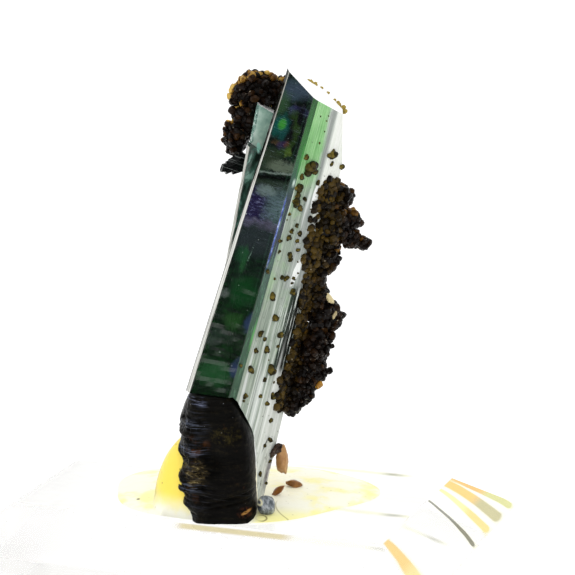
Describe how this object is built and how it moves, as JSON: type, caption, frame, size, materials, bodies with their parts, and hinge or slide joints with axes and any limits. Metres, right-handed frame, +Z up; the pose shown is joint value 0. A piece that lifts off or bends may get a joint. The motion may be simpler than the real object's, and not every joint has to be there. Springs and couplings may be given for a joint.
{
  "type": "vivianite crystal specimen",
  "caption": "Leaning green vivianite crystal with brown siderite crusts and a dark broken root, fixed with yellow wax to a clear bevelled block.",
  "frame": {"origin": "middle of the clear block's underside", "axes": "+X along the block's long side, +Y away from the side that the picture shows, +Z up"},
  "size_m": [0.039, 0.0268, 0.0444],
  "materials": {
    "clear_acrylic": "clear, polished",
    "mounting_wax": "soft sheen, slightly see-through",
    "vivianite": "vitreous, deep green, see-through where thin",
    "root_mineral": "rough, broken, dark",
    "siderite": "small glassy brown crystals",
    "siderite_tan": "waxy tan",
    "dark_mineral": "glassy, striated",
    "nodule": "smooth"
  },
  "bodies": {
    "root": {"acrylic_block": "clear_acrylic", "mounting_wax": "mounting_wax", "vivianite": "vivianite", "broken_root": "root_mineral", "siderite_crown": "siderite", "siderite_flank": "siderite", "siderite_chip_flat": "siderite_tan", "siderite_chip_leaf": "siderite_tan", "dark_crystal": "dark_mineral", "grey_nodule": "nodule"}
  },
  "joints": []
}
